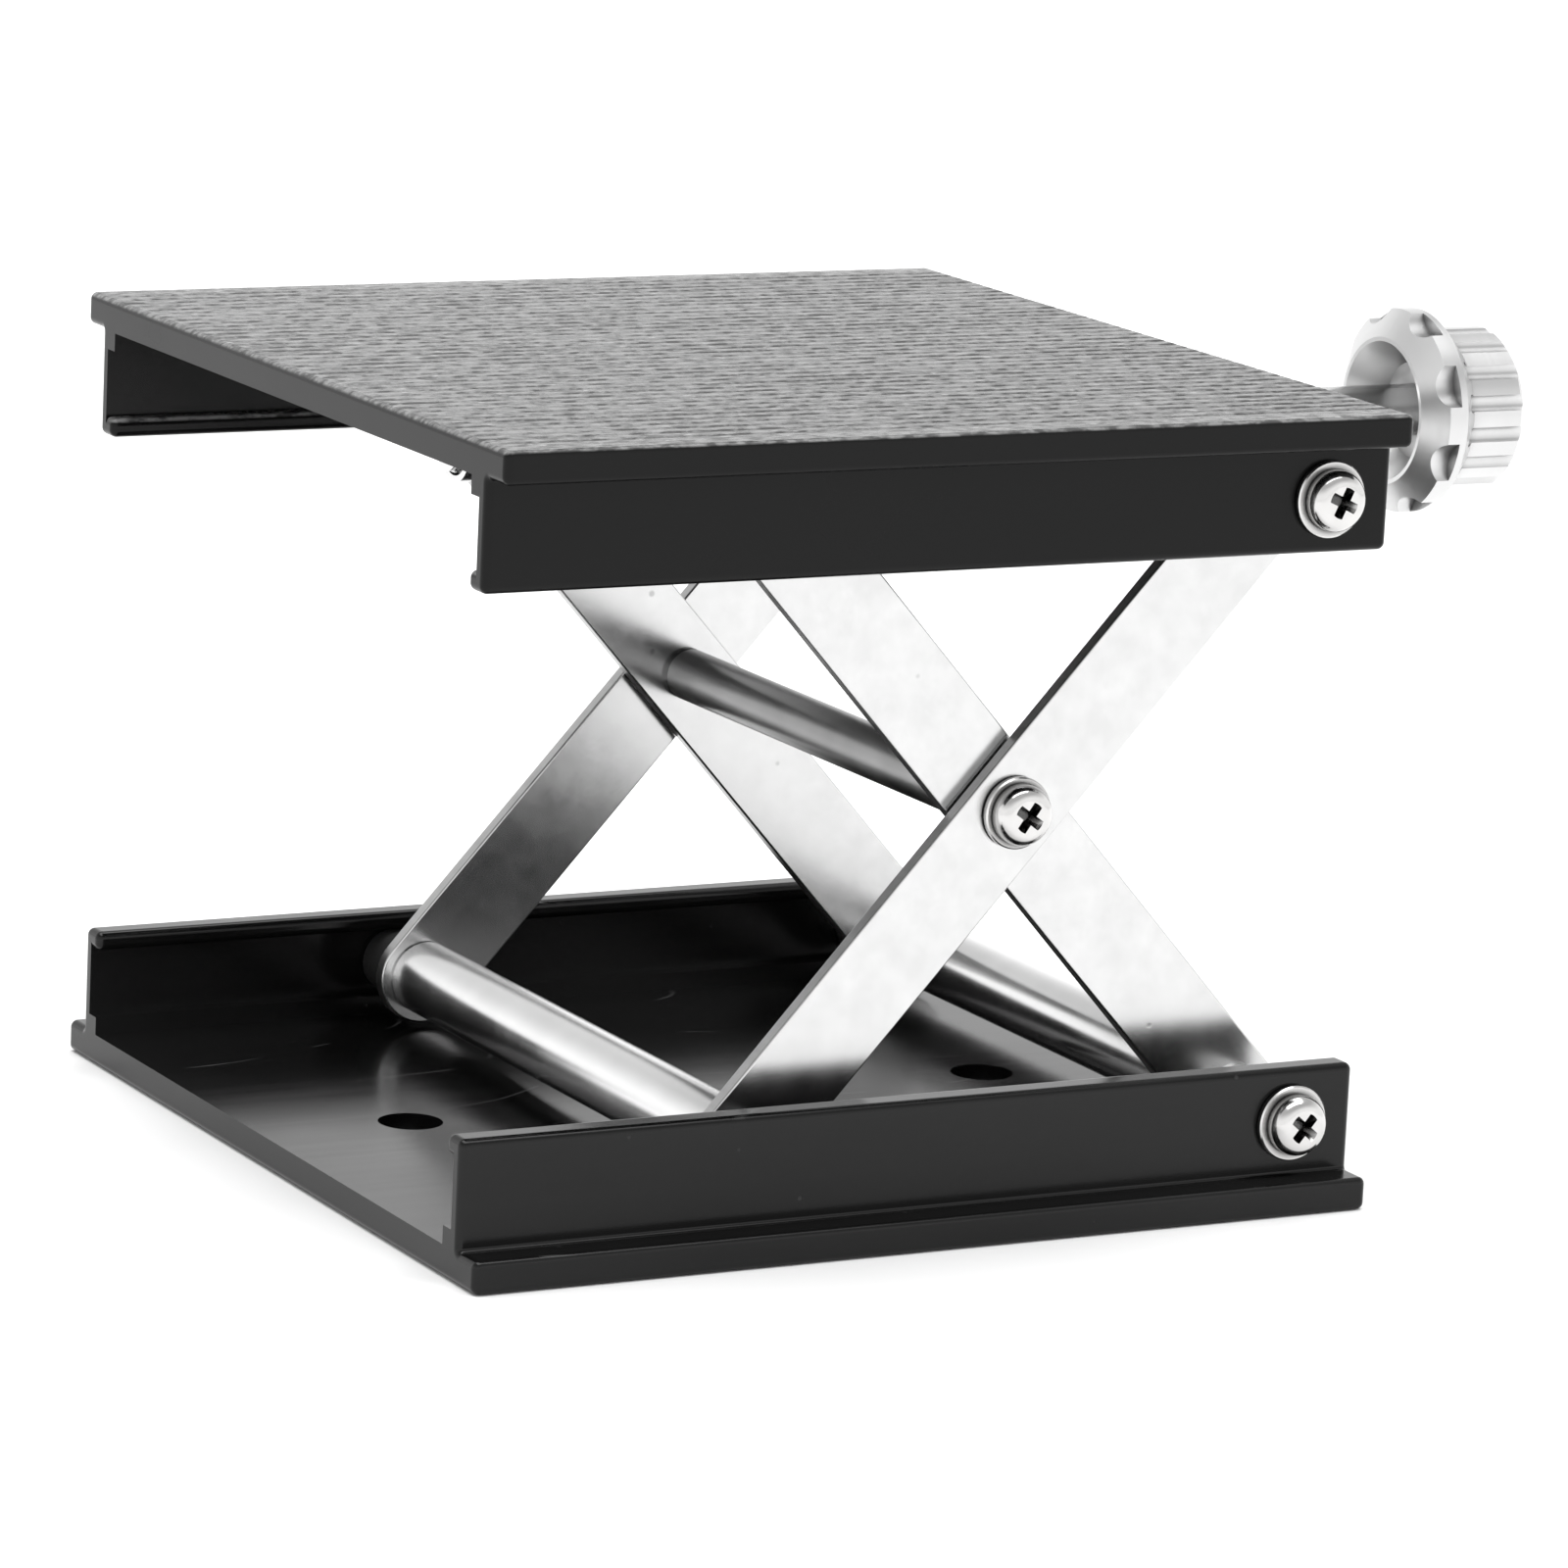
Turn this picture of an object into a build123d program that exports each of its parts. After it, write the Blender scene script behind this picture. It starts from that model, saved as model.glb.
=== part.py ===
from build123d import *
import math
import os

os.makedirs("parts", exist_ok=True)

# Laboratory scissor jack. Millimetres. The origin is the centre of the base's underside, +Z is up,
# +X runs along the channel walls toward the knob and +Y runs across from one wall to the other.
# The jack stands part raised, and every part is drawn where it stands at that height.

# plates: both are cut from one channel extrusion
plate_length = 90.0
plate_width = 90.0
plate_thickness = 3.0
channel_height = 12.9
lip = 3.5
wall_thickness = 1.4
guide_reach = 1.6
guide_low = 4.7
guide_high = 11.1
lip_round = 0.5
bead_round = 0.7
wall_end_round = 0.7
wall_root_round = 0.3
cut_edge = 0.3
jack_height = 73.3

# ribbed top surface
rib_pitch = 2.06
rib_count = 41
rib_groove_width = 0.9
rib_groove_depth = 0.3

# linkage
pivot_x = 38.5
pivot_z = 7.9
arm_centres = 77.6
arm_width = 9.0
arm_thickness = 1.5
arm_edge = 0.2
outer_arm_inside = 32.2
inner_arm_inside = 30.4

# cross rods
cross_rod_radius = 3.5
screw_rod_radius = 4.0
centre_rod_radius = 2.5
fixed_journal_radius = 2.5
slide_journal_radius = 2.0
centre_journal_radius = 2.1
rod_edge = 0.25
centre_rod_edge = 0.6
running_gap = 0.05
end_gap = 0.1

# guide rollers and spacers
roller_radius = 3.1
roller_inside = 33.9
upper_roller_inside = 32.1
roller_outside = 39.9
spacer_radius = 3.1

# pan head screws and washers
thread_radius = 1.5
thread_depth = 7.0
screw_clearance_radius = 1.6
wall_washer_radius = 3.5
centre_washer_radius = 3.3
washer_edge = 0.12
washer_thickness = 0.7
head_radius = 2.8
head_shoulder = 1.3
head_height = 2.0
recess_reach = 1.45
recess_width = 0.95
recess_depth = 1.4
centre_recess_turn = 35
base_recess_turn = 40
top_recess_turn = 25
recess_floor = 0.6

# lead screw, its rings and its knob
lead_radius = 2.5
lead_tip_x = -28.9
lead_chamfer = 0.5
stop_ring_radius = 3.1
stop_ring_x = -28.1
stop_ring_length = 1.2
thrust_ring_radius = 4.0
thrust_ring_length = 1.2
knob_x = 70.3
knob_length = 11.7
rim_radius = 7.1
flare_length = 1.6
skirt_radius = 9.8
skirt_length = 3.6
skirt_slope = 2.0
scallop_count = 8
scallop_radius = 2.6
scallop_depth = 1.2
scallop_angle = 112.5
scallop_web = 0.7
cavity_radius = 6.7
cavity_floor_radius = 4.6
cavity_depth = 3.5
grip_radius = 7.8
grip_edge = 0.8
flute_count = 16
flute_radius = 0.9
flute_depth = 0.45
flute_angle = 167.5
lead_end_x = 80.0
set_screw_radius = 1.25
set_screw_length = 3.0
set_screw_x = 78.6
set_screw_angle = flute_angle - 180

# base fixing holes
base_hole_radius = 3.0
base_hole_x = 30.0

half_width = plate_width / 2
wall_outside = half_width - lip
wall_inside = wall_outside - wall_thickness
guide_inside = wall_inside - guide_reach
outer_arm_outside = outer_arm_inside + arm_thickness
inner_arm_outside = inner_arm_inside + arm_thickness

# the fold angle at the height drawn, and the points that follow from it
fold = math.asin((jack_height - 2 * pivot_z) / arm_centres)
top_pivot_z = jack_height - pivot_z
slide_x = pivot_x - arm_centres * math.cos(fold)
centre_x = (pivot_x + slide_x) / 2
centre_z = jack_height / 2


def across(radius, inner, outer, x, z, side=1):
    """A round bar along Y from inner to outer, on the side given."""
    length = outer - inner
    middle = side * (inner + outer) / 2
    return Pos(x, middle, z) * Rot(90, 0, 0) * Cylinder(radius, length)


def eased(bar, size):
    """A round bar with its end edges chamfered."""
    return chamfer(bar.edges().filter_by(GeomType.CIRCLE), size)


def along(radius, start, end, z):
    """A round bar along X on the jack's centre line."""
    return Pos((start + end) / 2, 0, z) * Rot(0, 90, 0) * Cylinder(radius, end - start)


def channel_outline():
    """The extrusion's end view for a plate with its walls standing up, as Y and Z points."""
    right = [
        (half_width, 0),
        (half_width, plate_thickness),
        (wall_outside, plate_thickness),
        (wall_outside, channel_height),
        (guide_inside, channel_height),
        (guide_inside, guide_high),
        (wall_inside, guide_high),
        (wall_inside, guide_low),
        (guide_inside, guide_low),
        (guide_inside, plate_thickness),
    ]
    left = [(-y, z) for y, z in reversed(right)]
    return right + left


def rounded_outline(face):
    """The outline with its lip edges and guide beads rounded as extruded."""
    corners = face.vertices()
    lips = [v for v in corners if abs(abs(v.X) - half_width) < 0.01]
    face = fillet(lips, lip_round)
    top = [v for v in face.vertices() if abs(v.Y - channel_height) < 0.01]
    face = fillet(top, bead_round)
    under = [
        v
        for v in face.vertices()
        if abs(v.Y - guide_high) < 0.01 and abs(abs(v.X) - guide_inside) < 0.01
    ]
    face = fillet(under, bead_round)
    roots = [
        v
        for v in face.vertices()
        if abs(v.Y - plate_thickness) < 0.01 and abs(abs(v.X) - wall_outside) < 0.01
    ]
    return fillet(roots, wall_root_round)


def at_end(edge):
    """True for an edge in either sawn end of the extrusion."""
    return abs(abs(edge.center().X) - plate_length / 2) < 0.01


def channel():
    """One length of the extrusion, walls standing up, with its sawn ends eased."""
    outline = make_face(Polyline(*channel_outline(), close=True))
    face = rounded_outline(outline)
    bar = extrude(Plane.YZ * face, amount=plate_length / 2, both=True)
    wall_tops = [
        e
        for e in bar.edges().filter_by(Axis.Y)
        if at_end(e) and e.center().Z > channel_height - 0.01
    ]
    bar = fillet(wall_tops, wall_end_round)
    wedge = Rot(0, 45, 0) * Box(cut_edge, plate_width, cut_edge)
    for end in (-plate_length / 2, plate_length / 2):
        bar -= Pos(end, 0, 0) * wedge
    return bar


def rib_grooves():
    """The straight V grooves between the ribs, in the face away from the walls."""
    grooves = Sketch()
    half_groove = rib_groove_width / 2
    for rib in range(rib_count):
        y = (rib - (rib_count - 1) / 2) * rib_pitch
        grooves += make_face(
            Polyline((y - half_groove, 0), (y, rib_groove_depth), (y + half_groove, 0), close=True)
        )
    return extrude(Plane.YZ * grooves, amount=plate_length / 2, both=True)


def fixing_holes(z):
    """The screw clearance holes through both walls at the fixed pivot."""
    reach = half_width
    return across(screw_clearance_radius, -reach, reach, pivot_x, z)


def base_channel():
    """The base: the extrusion with pivot holes and two fixing holes in its floor."""
    part = channel() - fixing_holes(pivot_z)
    for x in (-base_hole_x, base_hole_x):
        part -= Pos(x, 0, plate_thickness / 2) * Cylinder(base_hole_radius, plate_thickness * 2)
    return part


def top_channel():
    """The platform: the same extrusion turned over, its outer face ribbed."""
    part = Pos(0, 0, jack_height) * Rot(180, 0, 0) * (channel() - rib_grooves())
    return part - fixing_holes(top_pivot_z)


def on_arm_outline(edge):
    """True for an arm's outer edges, and not for the rims of its holes."""
    if edge.geom_type == GeomType.CIRCLE:
        return edge.radius > arm_width / 3
    return abs(edge.tangent_at(0).Z) < 0.5


def arm(inner, lean, slide_hole, fixed_hole, centre_hole):
    """A flat arm with round ends: lean is +1 for the outer pair and -1 for the inner pair."""
    outer = inner + arm_thickness
    sketch = SlotCenterToCenter(arm_centres, arm_width)
    half = arm_centres / 2
    sketch -= Pos(-half, 0) * Circle(slide_hole)
    sketch -= Circle(centre_hole)
    sketch -= Pos(half, 0) * Circle(fixed_hole)
    bar = extrude(sketch, amount=arm_thickness)
    bar = fillet([e for e in bar.edges() if on_arm_outline(e)], arm_edge)
    turn = math.degrees(fold) * lean
    placed = Pos(centre_x, outer, centre_z) * Rot(0, -turn, 0) * Rot(90, 0, 0) * bar
    return placed


def both_sides(solid):
    """A solid and its mirror image across the jack's centre line."""
    return [solid, solid.mirror(Plane.XZ)]


def tapped_rod(body_radius, edge, journal_radius, body_half, journal_half, x, z):
    """A cross rod with turned-down ends, each tapped for a screw."""
    rod = eased(across(body_radius, -body_half, body_half, x, z), edge)
    for side in (1, -1):
        rod += across(journal_radius, body_half, journal_half, x, z, side)
    for side in (1, -1):
        rod -= across(thread_radius, journal_half - thread_depth, journal_half, x, z, side)
    return rod


def centre_rod():
    """The rod at the scissor's crossing."""
    journal_end = outer_arm_outside + end_gap
    return tapped_rod(
        centre_rod_radius,
        centre_rod_edge,
        centre_journal_radius,
        inner_arm_inside,
        journal_end,
        centre_x,
        centre_z,
    )


def lower_fixed_rod():
    """The rod held between the base walls, on which the inner arms turn."""
    return tapped_rod(
        cross_rod_radius,
        rod_edge,
        fixed_journal_radius,
        inner_arm_inside - end_gap,
        inner_arm_outside + end_gap,
        pivot_x,
        pivot_z,
    )


def upper_fixed_rod():
    """The rod held between the platform walls, bored for the lead screw."""
    rod = tapped_rod(
        screw_rod_radius,
        rod_edge,
        fixed_journal_radius,
        outer_arm_inside - end_gap,
        outer_arm_outside + end_gap,
        pivot_x,
        top_pivot_z,
    )
    reach = screw_rod_radius + 1
    return rod - along(lead_radius + running_gap, pivot_x - reach, pivot_x + reach, top_pivot_z)


def slide_rod(body_radius, body_half, z):
    """A sliding rod whose turned-down ends carry guide rollers."""
    rod = eased(across(body_radius, -body_half, body_half, slide_x, z), rod_edge)
    for side in (1, -1):
        rod += across(slide_journal_radius, body_half, roller_outside, slide_x, z, side)
    return rod


def lower_slide_rod():
    """The rod fixed between the outer arms' lower ends."""
    return slide_rod(cross_rod_radius, outer_arm_inside, pivot_z)


def nut_rod():
    """The threaded rod that the lead screw pulls along under the platform."""
    rod = slide_rod(screw_rod_radius, inner_arm_inside - end_gap, top_pivot_z)
    reach = screw_rod_radius + 1
    return rod - along(lead_radius + running_gap, slide_x - reach, slide_x + reach, top_pivot_z)


def roller(inner, z):
    """A plain plastic roller on a slide rod's end."""
    tyre = eased(across(roller_radius, inner, roller_outside, slide_x, z), rod_edge)
    bore = across(slide_journal_radius + running_gap, inner - 1, roller_outside + 1, slide_x, z)
    return tyre - bore


def spacer(inner, z):
    """The tube between a fixed rod's end and the channel wall."""
    tube = eased(across(spacer_radius, inner, wall_inside, pivot_x, z), rod_edge)
    bore = across(screw_clearance_radius, inner - 1, wall_inside + 1, pivot_x, z)
    return tube - bore


def washer(radius, face, x, z):
    """A flat washer whose inner side lies at face."""
    disc = eased(across(radius, face, face + washer_thickness, x, z), washer_edge)
    bore = across(screw_clearance_radius, face - 1, face + washer_thickness + 1, x, z)
    return disc - bore


def cross_recess():
    """The cross-shaped driver recess: two crossed slots that narrow toward their floor."""
    slots = Box(2 * recess_reach, recess_width, 2 * recess_depth)
    slots += Box(recess_width, 2 * recess_reach, 2 * recess_depth)
    narrowing = Cone(recess_floor, 2 * recess_reach - recess_floor, 2 * recess_depth)
    return Pos(0, 0, head_height) * (slots & narrowing)


def pan_head(recess_turn):
    """A round-shouldered screw head standing on the XY plane, with its recess turned as tightened."""
    head = Pos(0, 0, head_height / 2) * Cylinder(head_radius, head_height)
    crown = head.edges().filter_by(GeomType.CIRCLE).sort_by(Axis.Z)[-1]
    return fillet(crown, head_shoulder) - Rot(0, 0, recess_turn) * cross_recess()


def screw(face, tip, x, z, recess_turn):
    """A pan head screw whose head sits at face and whose shank ends at tip."""
    shank = across(thread_radius, tip, face, x, z)
    head = Pos(x, face, z) * Rot(-90, 0, 0) * pan_head(recess_turn)
    return shank + head


def centre_fasteners():
    """The washer and screw on one side of the scissor's crossing."""
    face = outer_arm_outside + end_gap
    tip = face - thread_depth + 1
    return (
        washer(centre_washer_radius, face, centre_x, centre_z),
        screw(face + washer_thickness, tip, centre_x, centre_z, centre_recess_turn),
    )


def wall_fasteners(rod_end, z, recess_turn):
    """The washer and screw on one side of a fixed rod."""
    tip = rod_end - thread_depth + 1
    return (
        washer(wall_washer_radius, wall_outside, pivot_x, z),
        screw(wall_outside + washer_thickness, tip, pivot_x, z, recess_turn),
    )


def lead_screw():
    """The lead screw from its free end to inside the knob."""
    bar = along(lead_radius, lead_tip_x, lead_end_x, top_pivot_z)
    tip = bar.edges().filter_by(GeomType.CIRCLE).sort_by(Axis.X)[0]
    return chamfer(tip, lead_chamfer)


def ring_on_screw(radius, start, length):
    """A ring seated on the lead screw."""
    ring = along(radius, start, start + length, top_pivot_z)
    return ring - along(lead_radius, start - 1, start + length + 1, top_pivot_z)


def thrust_rings():
    """The rings that hold the lead screw endways in the fixed rod."""
    reach = screw_rod_radius + end_gap
    return [
        ring_on_screw(
            thrust_ring_radius, pivot_x - reach - thrust_ring_length, thrust_ring_length
        ),
        ring_on_screw(thrust_ring_radius, pivot_x + reach, thrust_ring_length),
    ]


def knob_blank():
    """The knob as turned: a hollow skirt that flares from its rim nearest the plates, then the grip."""
    end = knob_x + knob_length
    shoulder = knob_x + skirt_length
    points = [
        (knob_x, cavity_radius),
        (knob_x, rim_radius),
        (knob_x + flare_length, skirt_radius),
        (shoulder, skirt_radius),
        (shoulder + skirt_slope, grip_radius),
        (end - grip_edge, grip_radius),
        (end, grip_radius - grip_edge),
        (end, 0),
        (lead_end_x, 0),
        (lead_end_x, lead_radius),
        (knob_x + cavity_depth, lead_radius),
        (knob_x + cavity_depth, cavity_floor_radius),
    ]
    face = make_face(Plane.XZ * Polyline(*points, close=True))
    return Pos(0, 0, top_pivot_z) * revolve(face, Axis.X)


def ring_of_cuts(count, first, radius, centre, start, end):
    """Round cuts along X, evenly spaced about the knob's axis from the first angle."""
    cuts = []
    for step in range(count):
        turn = math.radians(first + step * 360 / count)
        place = Pos(0, centre * math.cos(turn), centre * math.sin(turn))
        cuts.append(place * along(radius, start, end, top_pivot_z))
    return cuts


def knob():
    """The knob with blind scallops in its skirt, flutes along its grip and its set screw hole."""
    part = knob_blank()
    shoulder = knob_x + skirt_length
    scallops = ring_of_cuts(
        scallop_count,
        scallop_angle,
        scallop_radius,
        skirt_radius + scallop_radius - scallop_depth,
        knob_x - 1,
        shoulder - scallop_web,
    )
    flutes = ring_of_cuts(
        flute_count,
        flute_angle,
        flute_radius,
        grip_radius + flute_radius - flute_depth,
        shoulder + skirt_slope / 2,
        knob_x + knob_length + 1,
    )
    for cut in scallops + flutes:
        part -= cut
    return part - set_screw_bar(grip_radius + 1)


def set_screw_bar(reach):
    """The set screw, or its hole: a bar from the lead screw out to the reach given."""
    length = reach - lead_radius
    bar = Pos(set_screw_x, 0, lead_radius + length / 2) * Cylinder(set_screw_radius, length)
    return Pos(0, 0, top_pivot_z) * Rot(set_screw_angle - 90, 0, 0) * bar


def set_screw():
    """The headless screw that locks the knob to the lead screw."""
    return set_screw_bar(lead_radius + set_screw_length)


def save(name, solids):
    """Write one named sub-part, with every solid it is made of."""
    items = solids if isinstance(solids, list) else [solids]
    bodies = []
    for item in items:
        bodies.extend(item.solids())
    group = Compound(children=bodies) if len(bodies) > 1 else bodies[0]
    group.label = name
    export_step(group, f"parts/{name.replace(' ', '_')}.step")


centre_washer, centre_screw = centre_fasteners()
base_end = inner_arm_outside + end_gap
top_end = outer_arm_outside + end_gap
base_washer, base_screw = wall_fasteners(base_end, pivot_z, base_recess_turn)
top_washer, top_screw = wall_fasteners(top_end, top_pivot_z, top_recess_turn)
outer_arms = both_sides(
    arm(
        outer_arm_inside,
        1,
        slide_journal_radius,
        fixed_journal_radius + running_gap,
        centre_journal_radius + running_gap,
    )
)
inner_arms = both_sides(
    arm(
        inner_arm_inside,
        -1,
        slide_journal_radius + running_gap,
        fixed_journal_radius + running_gap,
        centre_journal_radius,
    )
)

save("base channel", base_channel())
save("top platform", top_channel())
save("outer arm far", outer_arms[0])
save("outer arm near", outer_arms[1])
save("inner arm far", inner_arms[0])
save("inner arm near", inner_arms[1])
save("centre rod", centre_rod())
save("centre washers", both_sides(centre_washer))
save("centre screws", both_sides(centre_screw))
save("lower fixed rod", lower_fixed_rod())
save("lower spacers", both_sides(spacer(base_end, pivot_z)))
save("base washers", both_sides(base_washer))
save("base screws", both_sides(base_screw))
save("upper fixed rod", upper_fixed_rod())
save("upper spacers", both_sides(spacer(top_end, top_pivot_z)))
save("platform washers", both_sides(top_washer))
save("platform screws", both_sides(top_screw))
save("lower slide rod", lower_slide_rod())
save("lower rollers", both_sides(roller(roller_inside, pivot_z)))
save("nut rod", nut_rod())
save("upper rollers", both_sides(roller(upper_roller_inside, top_pivot_z)))
save("lead screw", lead_screw())
save("screw end ring", ring_on_screw(stop_ring_radius, stop_ring_x, stop_ring_length))
save("thrust rings", thrust_rings())
save("knob", knob())
save("knob set screw", set_screw())
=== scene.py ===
import math

import bmesh
import bpy
from mathutils import Matrix, Vector


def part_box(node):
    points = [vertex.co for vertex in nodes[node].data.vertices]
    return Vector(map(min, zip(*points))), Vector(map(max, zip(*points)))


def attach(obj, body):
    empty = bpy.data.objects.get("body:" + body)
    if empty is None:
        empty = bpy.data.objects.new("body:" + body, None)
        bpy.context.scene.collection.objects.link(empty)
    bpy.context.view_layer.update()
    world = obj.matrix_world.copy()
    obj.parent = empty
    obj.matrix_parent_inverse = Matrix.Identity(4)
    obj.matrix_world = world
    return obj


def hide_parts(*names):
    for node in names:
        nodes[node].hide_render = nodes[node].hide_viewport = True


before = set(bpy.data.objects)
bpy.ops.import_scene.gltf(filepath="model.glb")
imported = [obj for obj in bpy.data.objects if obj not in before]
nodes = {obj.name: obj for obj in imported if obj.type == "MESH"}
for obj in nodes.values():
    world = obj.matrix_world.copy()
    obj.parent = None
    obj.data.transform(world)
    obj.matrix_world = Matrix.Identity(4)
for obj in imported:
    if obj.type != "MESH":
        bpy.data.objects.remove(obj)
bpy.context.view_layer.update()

MM = 0.001

# camera: where it stands, which way it looks, and its lens
camera_place = Vector((-318.7, -601.9, 177.9)) * MM
camera_azimuth = -28.43
camera_elevation = 12.0
camera_roll = 2.72
camera_lens = 172.8
camera_sensor = 36.0
camera_nearest = 0.01
camera_farthest = 20

# studio: the surroundings are bright near the horizon and dimmer higher up
floor_size = 6.0
floor_drop = 0.05 * MM  # keeps the floor clear of the base's underside
floor_colour = (0.9, 0.9, 0.9, 1)
floor_roughness = 0.9
floor_specular = 0.1
horizon_strength = 1.35
upper_strength = 0.65
horizon_top = 0.25
upper_start = 0.6
overhead_height = 2.4
overhead_size = 2.4
overhead_power = 74

# lead screw: its thread, and how finely it is drawn
thread_pitch = 0.8 * MM
thread_depth = 0.45 * MM
thread_run_out = 1.6 * MM
thread_root_flat = 0.12  # these two are shares of half a pitch
thread_flank = 0.7
plain_shank_start = 33.0 * MM
knob_end_chamfer = 0.5 * MM
screw_segments = 40
rings_per_pitch = 6

# scratches gather in patches: how often patches come in a metre, and the noise where one starts and is full
scuff_patches = 110
scuff_patch_start = 0.54
scuff_patch_full = 0.62

crevice_samples = 12


def add_object(name, data):
    """A new object in the scene for that mesh, light or camera."""
    made = bpy.data.objects.new(name, data)
    bpy.context.scene.collection.objects.link(made)
    return made


# ---------------------------------------------------------------- shader helpers


def colour_socket(sockets, name):
    """The colour socket of that name, since a Mix node has one of each kind under it."""
    return next(socket for socket in sockets if socket.name == name and socket.type == "RGBA")


class Shader:
    """A material's node tree around one Principled shader."""

    def __init__(self, name):
        self.material = bpy.data.materials.new(name)
        self.material.use_nodes = True
        self.tree = self.material.node_tree
        self.surface = self.tree.nodes["Principled BSDF"]
        coordinates = self.tree.nodes.new("ShaderNodeTexCoord")
        self.place = coordinates.outputs["Object"]
        self.normal = coordinates.outputs["Normal"]

    def node(self, kind, **settings):
        """A new node of that kind with those settings."""
        made = self.tree.nodes.new(kind)
        for key, value in settings.items():
            setattr(made, key, value)
        return made

    def join(self, output, target):
        """A link from one node's output to another's input."""
        self.tree.links.new(output, target)

    def stretched(self, scale):
        """The object's own coordinates, scaled differently along each axis."""
        mapping = self.node("ShaderNodeMapping")
        mapping.inputs["Scale"].default_value = scale
        self.join(self.place, mapping.inputs["Vector"])
        return mapping.outputs["Vector"]

    def noise(self, scale, detail, roughness=0.55):
        """Noise from 0 to 1. scale is features per metre along X, Y and Z."""
        made = self.node("ShaderNodeTexNoise")
        made.inputs["Scale"].default_value = 1.0
        made.inputs["Detail"].default_value = detail
        made.inputs["Roughness"].default_value = roughness
        self.join(self.stretched(scale), made.inputs["Vector"])
        return made.outputs["Fac"]

    def specks(self, per_metre, radius):
        """1 inside scattered round specks and 0 outside."""
        cells = self.node("ShaderNodeTexVoronoi")
        cells.inputs["Scale"].default_value = 1.0
        self.join(self.stretched((per_metre,) * 3), cells.inputs["Vector"])
        return self.spread(cells.outputs["Distance"], radius, radius / 2)

    def crevice(self, reach):
        """Ambient occlusion used to paint shade: 1 on open surfaces, falling to 0 in corners and recesses
        narrower than reach.
        """
        made = self.node("ShaderNodeAmbientOcclusion", samples=crevice_samples)
        made.inputs["Distance"].default_value = reach
        return made.outputs["AO"]

    def scuffs(self, scale, width):
        """1 along a few fine short scratches and 0 elsewhere."""
        ridge = self.math("ABSOLUTE", self.math("SUBTRACT", self.noise(scale, 0), 0.5), 0)
        line = self.spread(ridge, width, width * 0.3)
        patches = self.noise((scuff_patches,) * 3, 1)
        patch = self.spread(patches, scuff_patch_start, scuff_patch_full)
        return self.math("MULTIPLY", line, patch)

    def facing(self, axis, start, full):
        """0 where the surface faces across an axis, 1 where it faces along it either way."""
        size = self.math("ABSOLUTE", self.along(axis), 0)
        return self.spread(size, start, full)

    def upward(self, start, full):
        """0 where the surface faces sideways or down, 1 where it faces up."""
        return self.spread(self.along(2), start, full)

    def along(self, axis):
        """The part of the surface's own direction that lies along one of the object's axes."""
        parts = self.node("ShaderNodeSeparateXYZ")
        self.join(self.normal, parts.inputs["Vector"])
        return parts.outputs["XYZ"[axis]]

    def spread(self, value, low, high, out_low=0.0, out_high=1.0):
        """A value's low to high range stretched onto out_low to out_high, clamped."""
        ramp = self.node("ShaderNodeMapRange", clamp=True)
        for key, number in (
            ("From Min", low),
            ("From Max", high),
            ("To Min", out_low),
            ("To Max", out_high),
        ):
            ramp.inputs[key].default_value = number
        self.join(value, ramp.inputs["Value"])
        return ramp.outputs["Result"]

    def math(self, operation, first, second):
        """That operation on two values, each a number or another node's output."""
        made = self.node("ShaderNodeMath", operation=operation)
        for index, value in enumerate((first, second)):
            if isinstance(value, (int, float)):
                made.inputs[index].default_value = value
            else:
                self.join(value, made.inputs[index])
        return made.outputs["Value"]

    def blend(self, factor, first, second):
        """A colour between first and second."""
        made = self.node("ShaderNodeMix", data_type="RGBA")
        self.join(factor, made.inputs["Factor"])
        for key, value in (("A", first), ("B", second)):
            socket = colour_socket(made.inputs, key)
            if isinstance(value, tuple):
                socket.default_value = (*value, 1)
            else:
                self.join(value, socket)
        return colour_socket(made.outputs, "Result")

    def bump(self, height, depth, under=None):
        """Relief of that depth in metres."""
        made = self.node("ShaderNodeBump")
        made.inputs["Distance"].default_value = depth
        made.inputs["Strength"].default_value = 1.0
        self.join(height, made.inputs["Height"])
        if under is not None:
            self.join(under, made.inputs["Normal"])
        return made.outputs["Normal"]

    def finish(self, colour, roughness, normal, metallic, specular=0.5):
        """The material, once its colour, roughness and relief are joined to the shader."""
        self.join(colour, self.surface.inputs["Base Color"])
        self.join(roughness, self.surface.inputs["Roughness"])
        self.join(normal, self.surface.inputs["Normal"])
        self.surface.inputs["Metallic"].default_value = metallic
        self.surface.inputs["Specular IOR Level"].default_value = specular
        return self.material


def grey(value, warmth=0.0):
    """A grey of that brightness, leaning to red by warmth and away from blue."""
    return (value * (1 + warmth), value, value * (1 - warmth))


def anodised():
    """Black anodised extrusion: faint die lines along X, soft blotches, dust, and scuffs on top."""
    shader = Shader("anodised_extrusion")
    lines = shader.noise((5, 900, 900), detail=3)
    blotch = shader.noise((40, 60, 60), detail=3)
    fine_part = shader.math("MULTIPLY", lines, 0.4)
    mixed = shader.math("ADD", fine_part, shader.math("MULTIPLY", blotch, 0.6))
    colour = shader.blend(shader.spread(mixed, 0.3, 0.7), grey(0.002), grey(0.005))
    dust = shader.specks(260, 0.07)
    colour = shader.blend(shader.math("MULTIPLY", dust, 0.2), colour, grey(0.1))
    scuffs = shader.math("MULTIPLY", shader.scuffs((30, 75, 75), 0.007), shader.upward(0.5, 0.8))
    colour = shader.blend(shader.math("MULTIPLY", scuffs, 0.4), colour, grey(0.2))
    roughness = shader.spread(mixed, 0.3, 0.7, 0.13, 0.22)
    grain = shader.noise((2600, 2600, 2600), detail=2)
    normal = shader.bump(lines, 0.0015 * MM)
    normal = shader.bump(grain, 0.0006 * MM, normal)
    return shader.finish(colour, roughness, normal, 0.0, 0.27)


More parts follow.
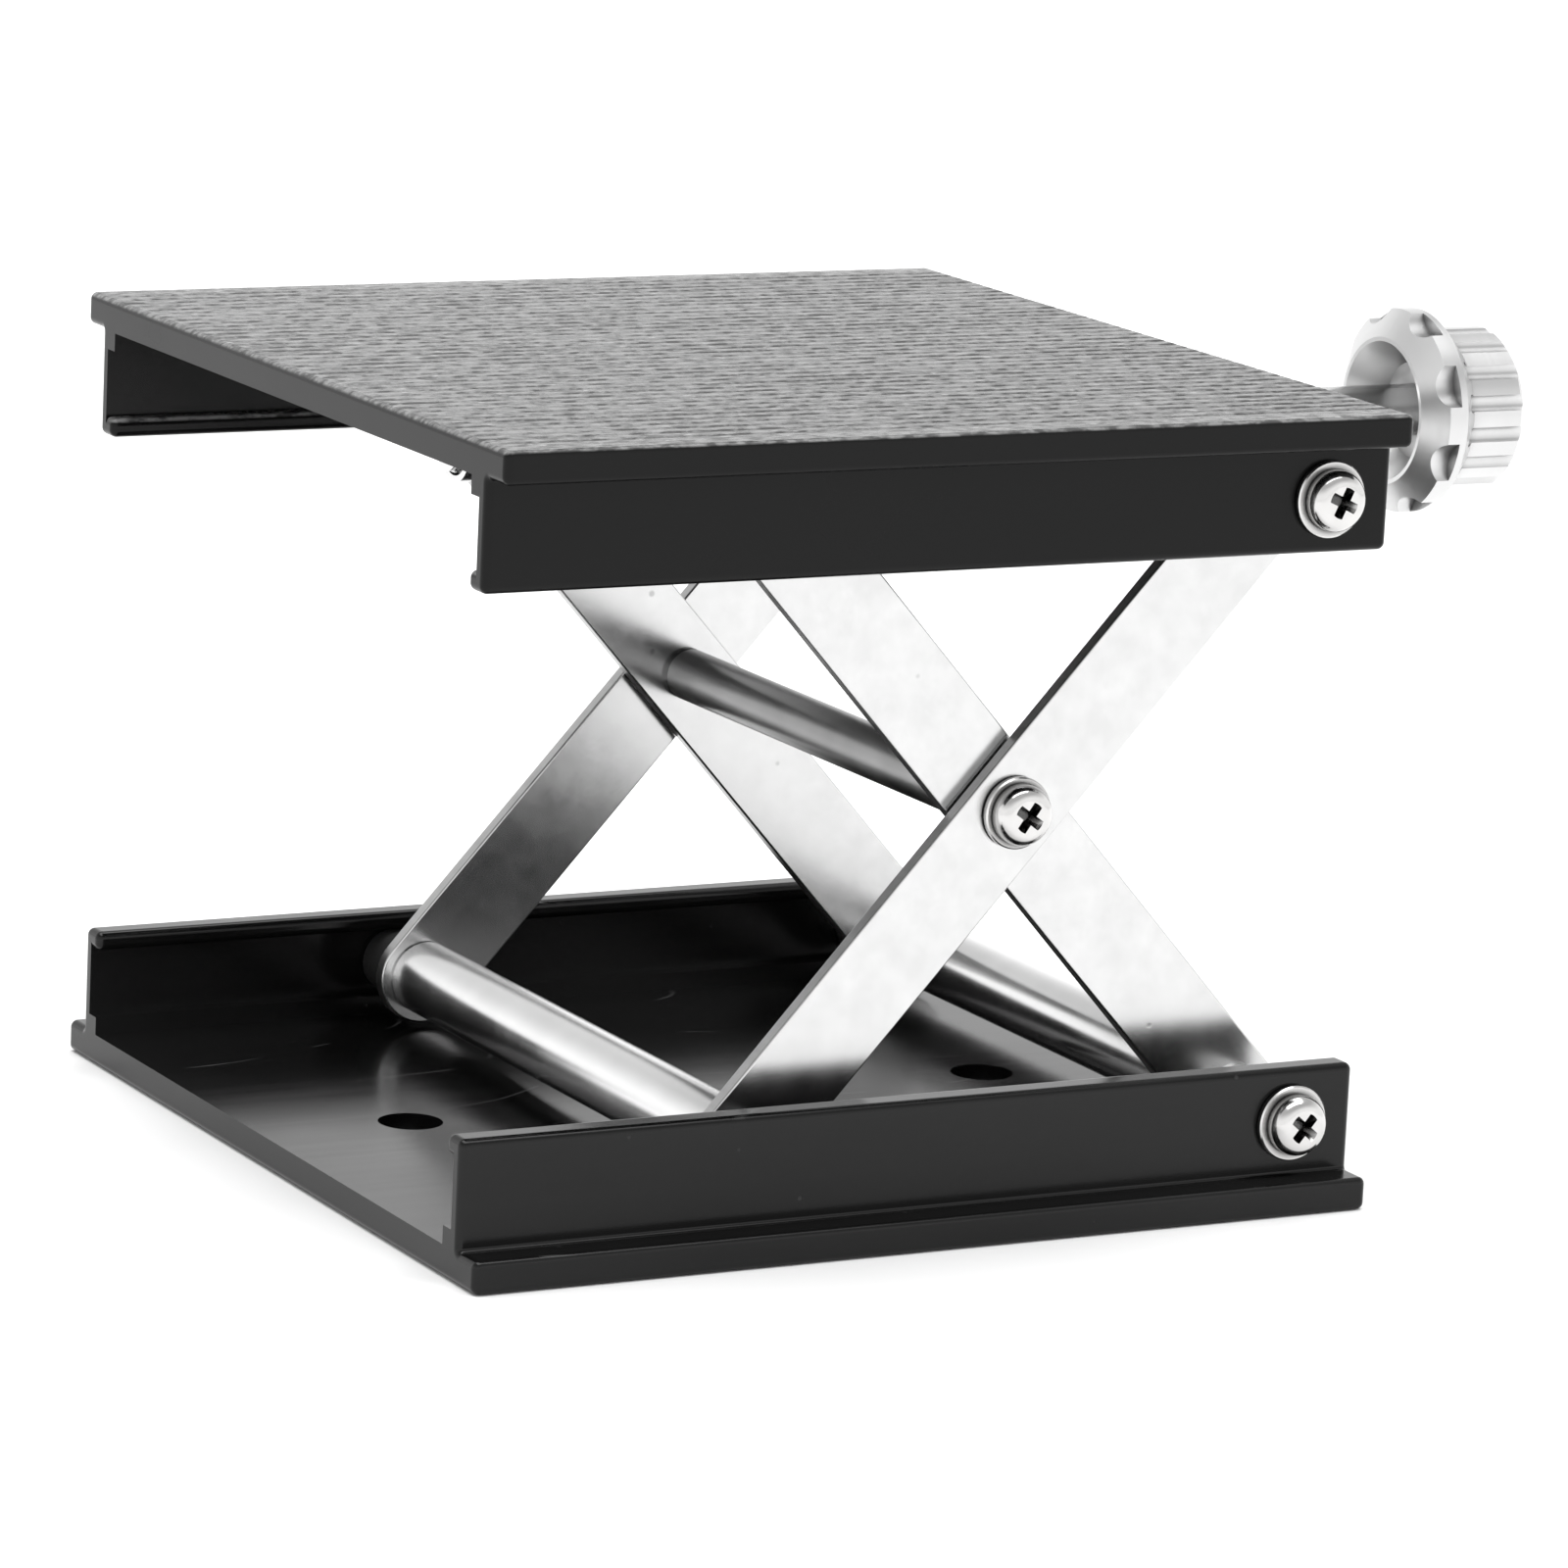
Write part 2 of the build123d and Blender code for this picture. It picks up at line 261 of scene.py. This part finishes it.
def ribbed_anodised():
    """The platform: the same finish, with its ribbed face in short bright and dark dashes that are partly
    wear and partly painted reflection, and with painted glints.
    """
    shader = Shader("anodised_platform")
    blotch = shader.noise((40, 60, 60), detail=3)
    body = shader.blend(blotch, grey(0.002), grey(0.004))
    dashes = shader.noise((560, 1300, 600), detail=3, roughness=0.65)
    patches = shader.noise((70, 150, 70), detail=3)
    uneven = shader.math("MULTIPLY", shader.math("SUBTRACT", patches, 0.5), 0.3)
    # the ribbed top is far lighter than the black body, with flanks lighter than crests; this is partly
    # wear and partly painted reflection of the bright surroundings
    wear_and_sheen = shader.spread(shader.math("ADD", dashes, uneven), 0.4, 0.58)
    crest = shader.blend(wear_and_sheen, grey(0.008), grey(0.12))
    flank = shader.blend(wear_and_sheen, grey(0.06), grey(0.21))
    # painted glints: scattered painted highlights on the rib crests
    glints = shader.spread(shader.noise((600, 1700, 600), detail=1), 0.68, 0.74, 0.0, 0.6)
    crest = shader.blend(glints, crest, grey(0.45))
    ribs = shader.blend(shader.upward(0.9, 0.98), flank, crest)
    top = shader.upward(0.4, 0.7)
    colour = shader.blend(top, body, ribs)
    ribbed = shader.spread(dashes, 0.3, 0.7, 0.32, 0.2)
    plain = shader.spread(blotch, 0.3, 0.7, 0.18, 0.28)
    difference = shader.math("MULTIPLY", shader.math("SUBTRACT", ribbed, plain), top)
    roughness = shader.math("ADD", plain, difference)
    normal = shader.bump(shader.math("MULTIPLY", dashes, top), 0.02 * MM)
    return shader.finish(colour, roughness, normal, 0.0, 0.17)


def strip_steel():
    """Bright cold-rolled strip: faintly mottled faces with a few pits, and duller sheared edges whose
    darker colour is partly painted shade.
    """
    shader = Shader("arm_strip_steel")
    mottle = shader.noise((330, 330, 330), detail=5, roughness=0.65)
    fine = shader.noise((2200, 2200, 2200), detail=3)
    pits = shader.specks(150, 0.06)
    face = shader.blend(shader.spread(mottle, 0.35, 0.7), grey(0.57), grey(0.645))
    face = shader.blend(shader.math("MULTIPLY", pits, 0.5), face, grey(0.22))
    # the edges' darker grey is partly the duller sheared finish and partly painted shade
    shear = shader.noise((900, 200, 900), detail=3)
    edge = shader.blend(shear, grey(0.32), grey(0.48))
    flat = shader.facing(1, 0.5, 0.85)
    colour = shader.blend(flat, edge, face)
    polish = shader.spread(mottle, 0.3, 0.7, 0.19, 0.225)
    rough_edge = shader.math("MULTIPLY", shader.math("SUBTRACT", 1.0, flat), 0.12)
    roughness = shader.math("ADD", polish, rough_edge)
    normal = shader.bump(fine, 0.0006 * MM)
    normal = shader.bump(pits, -0.008 * MM, normal)
    return shader.finish(colour, roughness, normal, 1.0)


def turned_steel(name, dark, light, low, high, axis):
    """Smooth turned bar: a tone that drifts from dark to light, and very faint rings about its axis.

    low and high are the roughness of the dark and the light tone.
    """
    shader = Shader(name)
    around = [20.0, 20.0, 20.0]
    around[axis] = 1800.0
    rings = shader.noise(tuple(around), detail=1)
    cloud = shader.noise((110, 110, 110), detail=2)
    tone = shader.spread(cloud, 0.35, 0.65)
    colour = shader.blend(tone, grey(dark), grey(light))
    ringed = shader.spread(rings, 0, 1, 0, 0.03)
    roughness = shader.math("ADD", ringed, shader.spread(tone, 0, 1, low, high))
    normal = shader.bump(rings, 0.0001 * MM)
    return shader.finish(colour, roughness, normal, 1.0)


def metal_with_painted_crevice_shade(name, tone, low, high, reach, cloudy):
    """Metal with painted shade darkening its corners and recesses, as on pressed screws and washers.

    low and high bound its roughness, reach is how wide a recess the painted shade fills, and cloudy is how
    many changes of tone there are in a metre.
    """
    shader = Shader(name)
    cloud = shader.spread(shader.noise((cloudy,) * 3, detail=3), 0.3, 0.7)
    fine = shader.noise((3500, 3500, 3500), detail=2)
    bright = shader.blend(cloud, grey(tone * 0.93, 0.01), grey(tone, 0.01))
    # painted shade: the colour falls to near black where the ambient occlusion finds a corner or recess
    open_face = shader.spread(shader.crevice(reach), 0.5, 0.9)
    colour = shader.blend(open_face, grey(tone * 0.03), bright)
    roughness = shader.spread(cloud, 0, 1, low, high)
    normal = shader.bump(fine, 0.0003 * MM)
    return shader.finish(colour, roughness, normal, 1.0)


def turned_knob():
    """Turned aluminium: a fine satin ring finish, with painted shade greying the flutes and bore."""
    shader = Shader("knob_aluminium")
    rings = shader.noise((2400, 30, 30), detail=1)
    cloud = shader.noise((90, 90, 90), detail=2)
    satin = shader.blend(shader.spread(cloud, 0.35, 0.65), grey(0.6), grey(0.67))
    # painted shade: the colour falls to grey where the ambient occlusion finds a flute or the bore
    open_face = shader.spread(shader.crevice(1.8 * MM), 0.45, 0.95)
    colour = shader.blend(open_face, grey(0.24), satin)
    roughness = shader.spread(rings, 0.3, 0.7, 0.3, 0.34)
    normal = shader.bump(rings, 0.0001 * MM)
    return shader.finish(colour, roughness, normal, 1.0)


def black_plastic():
    """Moulded roller plastic with a fine matte grain."""
    shader = Shader("roller_plastic")
    grain = shader.noise((3500, 3500, 3500), detail=3)
    cloud = shader.noise((400, 400, 400), detail=2)
    colour = shader.blend(cloud, grey(0.012), grey(0.022))
    roughness = shader.spread(grain, 0.3, 0.7, 0.42, 0.58)
    return shader.finish(colour, roughness, shader.bump(grain, 0.004 * MM), 0.0, 0.4)


def paint(material, *names):
    """Those CAD nodes in that material alone."""
    for name in names:
        slots = nodes[name].data.materials
        slots.clear()
        slots.append(material)


def dress_parts():
    """A material on every CAD node but the lead screw, whose threaded stand-in takes the one returned."""
    paint(anodised(), "base_channel")
    paint(ribbed_anodised(), "top_platform")
    paint(strip_steel(), "outer_arm_far", "outer_arm_near", "inner_arm_far", "inner_arm_near")
    rods = turned_steel("rod_steel", 0.74, 0.8, 0.19, 0.23, 1)
    paint(rods, "lower_fixed_rod", "upper_fixed_rod", "lower_slide_rod", "nut_rod")
    paint(turned_steel("centre_rod_steel", 0.22, 0.28, 0.28, 0.32, 1), "centre_rod")
    screws = metal_with_painted_crevice_shade("nickel_screws", 0.62, 0.12, 0.2, 1.4 * MM, 700)
    paint(screws, "centre_screws", "base_screws", "platform_screws")
    washers = metal_with_painted_crevice_shade("nickel_washers", 0.66, 0.14, 0.24, 1.1 * MM, 700)
    paint(washers, "centre_washers", "base_washers", "platform_washers")
    paint(turned_steel("spacer_metal", 0.6, 0.68, 0.24, 0.3, 1), "lower_spacers", "upper_spacers")
    paint(black_plastic(), "lower_rollers", "upper_rollers")
    shaft = turned_steel("shaft_steel", 0.6, 0.68, 0.18, 0.22, 0)
    paint(shaft, "screw_end_ring", "thrust_rings")
    paint(turned_knob(), "knob")
    paint(metal_with_painted_crevice_shade("set_screw_steel", 0.08, 0.3, 0.45, 0.5 * MM, 900), "knob_set_screw")
    return shaft


# ---------------------------------------------------------------- lead screw


def thread_height(phase):
    """The thread's height over one turn, 1 on its flat crest and 0 at its flat root."""
    flank = min(phase, 1 - phase) * 2
    return min(1.0, max(0.0, (flank - thread_root_flat) / thread_flank))


def screw_radius(x, angle, free_end, major):
    """The screw's radius at one place along it and around it.

    The thread fades into its root at the free end, and into the full size at the plain shank.
    """
    if x > plain_shank_start:
        return major
    from_free_end = (x - free_end) / thread_run_out
    from_shank = (plain_shank_start - x) / thread_run_out
    fade = max(0.0, min(1.0, from_free_end, from_shank))
    faded_height = 1.0 if from_shank < from_free_end else 0.0
    phase = (x / thread_pitch + angle / math.tau) % 1.0
    root = major - thread_depth
    return root + thread_depth * (thread_height(phase) * fade + (1 - fade) * faded_height)


def lead_screw(finish):
    """The lead screw with its thread cut: rings of points along its axis, and two flat ends."""
    low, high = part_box("lead_screw")
    major = (high[2] - low[2]) / 2
    axis_z = (high[2] + low[2]) / 2
    step = thread_pitch / rings_per_pitch
    count = int((plain_shank_start - low[0]) / step)
    stations = [low[0] + step * index for index in range(count)]
    stations += [plain_shank_start, high[0] - knob_end_chamfer, high[0]]
    mesh = bmesh.new()
    rings = []
    for x in stations:
        ring = []
        for segment in range(screw_segments):
            angle = math.tau * segment / screw_segments
            radius = screw_radius(x, angle, low[0], major)
            if x == high[0]:
                radius -= knob_end_chamfer
            y, z = radius * math.cos(angle), axis_z + radius * math.sin(angle)
            ring.append(mesh.verts.new((x, y, z)))
        rings.append(ring)
    for first, second in zip(rings, rings[1:]):
        for segment in range(screw_segments):
            after = (segment + 1) % screw_segments
            mesh.faces.new((first[segment], first[after], second[after], second[segment]))
    mesh.faces.new(list(reversed(rings[0])))
    mesh.faces.new(rings[-1])
    bmesh.ops.recalc_face_normals(mesh, faces=mesh.faces)
    for face in mesh.faces:
        face.smooth = len(face.verts) == 4
    data = bpy.data.meshes.new("threaded_lead_screw")
    mesh.to_mesh(data)
    mesh.free()
    data.materials.append(finish)
    screw = add_object("threaded_lead_screw", data)
    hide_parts("lead_screw")
    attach(screw, "knob_and_screw")


# ---------------------------------------------------------------- studio


def make_camera():
    """The camera that was fitted to the photo. roll turns it about its own line of sight."""
    azimuth = math.radians(camera_azimuth)
    elevation = math.radians(camera_elevation)
    roll = math.radians(camera_roll)
    back = Vector((
        math.sin(azimuth) * math.cos(elevation),
        -math.cos(azimuth) * math.cos(elevation),
        math.sin(elevation),
    ))
    right = Vector((0, 0, 1)).cross(back).normalized()
    up = back.cross(right)
    turned_right = math.cos(roll) * right + math.sin(roll) * up
    turned_up = math.cos(roll) * up - math.sin(roll) * right
    turn = Matrix((turned_right, turned_up, back)).transposed()
    data = bpy.data.cameras.new("camera")
    data.lens = camera_lens
    data.sensor_width = camera_sensor
    data.clip_start = camera_nearest
    data.clip_end = camera_farthest
    camera = add_object("camera", data)
    camera.matrix_world = Matrix.Translation(camera_place) @ turn.to_4x4()
    bpy.context.scene.camera = camera


def make_floor():
    """A plain white floor, far wider than the view."""
    half = floor_size / 2
    mesh = bpy.data.meshes.new("floor")
    outline = [(-half, -half), (half, -half), (half, half), (-half, half)]
    mesh.from_pydata([(x, y, -floor_drop) for x, y in outline], [], [(0, 1, 2, 3)])
    floor = add_object("floor", mesh)
    material = bpy.data.materials.new("floor_white")
    material.use_nodes = True
    surface = material.node_tree.nodes["Principled BSDF"]
    surface.inputs["Base Color"].default_value = floor_colour
    surface.inputs["Roughness"].default_value = floor_roughness
    surface.inputs["Specular IOR Level"].default_value = floor_specular
    mesh.materials.append(material)


def make_overhead():
    """One large square softbox straight above, shining down."""
    data = bpy.data.lights.new("overhead", "AREA")
    data.shape = "RECTANGLE"
    data.size = data.size_y = overhead_size
    data.energy = overhead_power
    lamp = add_object("overhead", data)
    lamp.rotation_euler = Vector((0, 0, -1)).to_track_quat("-Z", "Y").to_euler()
    lamp.location = (0, 0, overhead_height)


def make_surroundings():
    """A white world whose strength falls off from the horizon upwards."""
    world = bpy.data.worlds.new("studio")
    world.use_nodes = True
    tree = world.node_tree
    background = tree.nodes["Background"]
    background.inputs["Color"].default_value = (1, 1, 1, 1)
    direction = tree.nodes.new("ShaderNodeTexCoord")
    parts = tree.nodes.new("ShaderNodeSeparateXYZ")
    fall = tree.nodes.new("ShaderNodeMapRange")
    fall.inputs["From Min"].default_value = horizon_top
    fall.inputs["From Max"].default_value = upper_start
    fall.inputs["To Min"].default_value = horizon_strength
    fall.inputs["To Max"].default_value = upper_strength
    tree.links.new(direction.outputs["Generated"], parts.inputs["Vector"])
    tree.links.new(parts.outputs["Z"], fall.inputs["Value"])
    tree.links.new(fall.outputs["Result"], background.inputs["Strength"])
    scene = bpy.context.scene
    scene.world = world
    scene.view_settings.view_transform = "Standard"


lead_screw(dress_parts())
make_camera()
make_surroundings()
make_floor()
make_overhead()
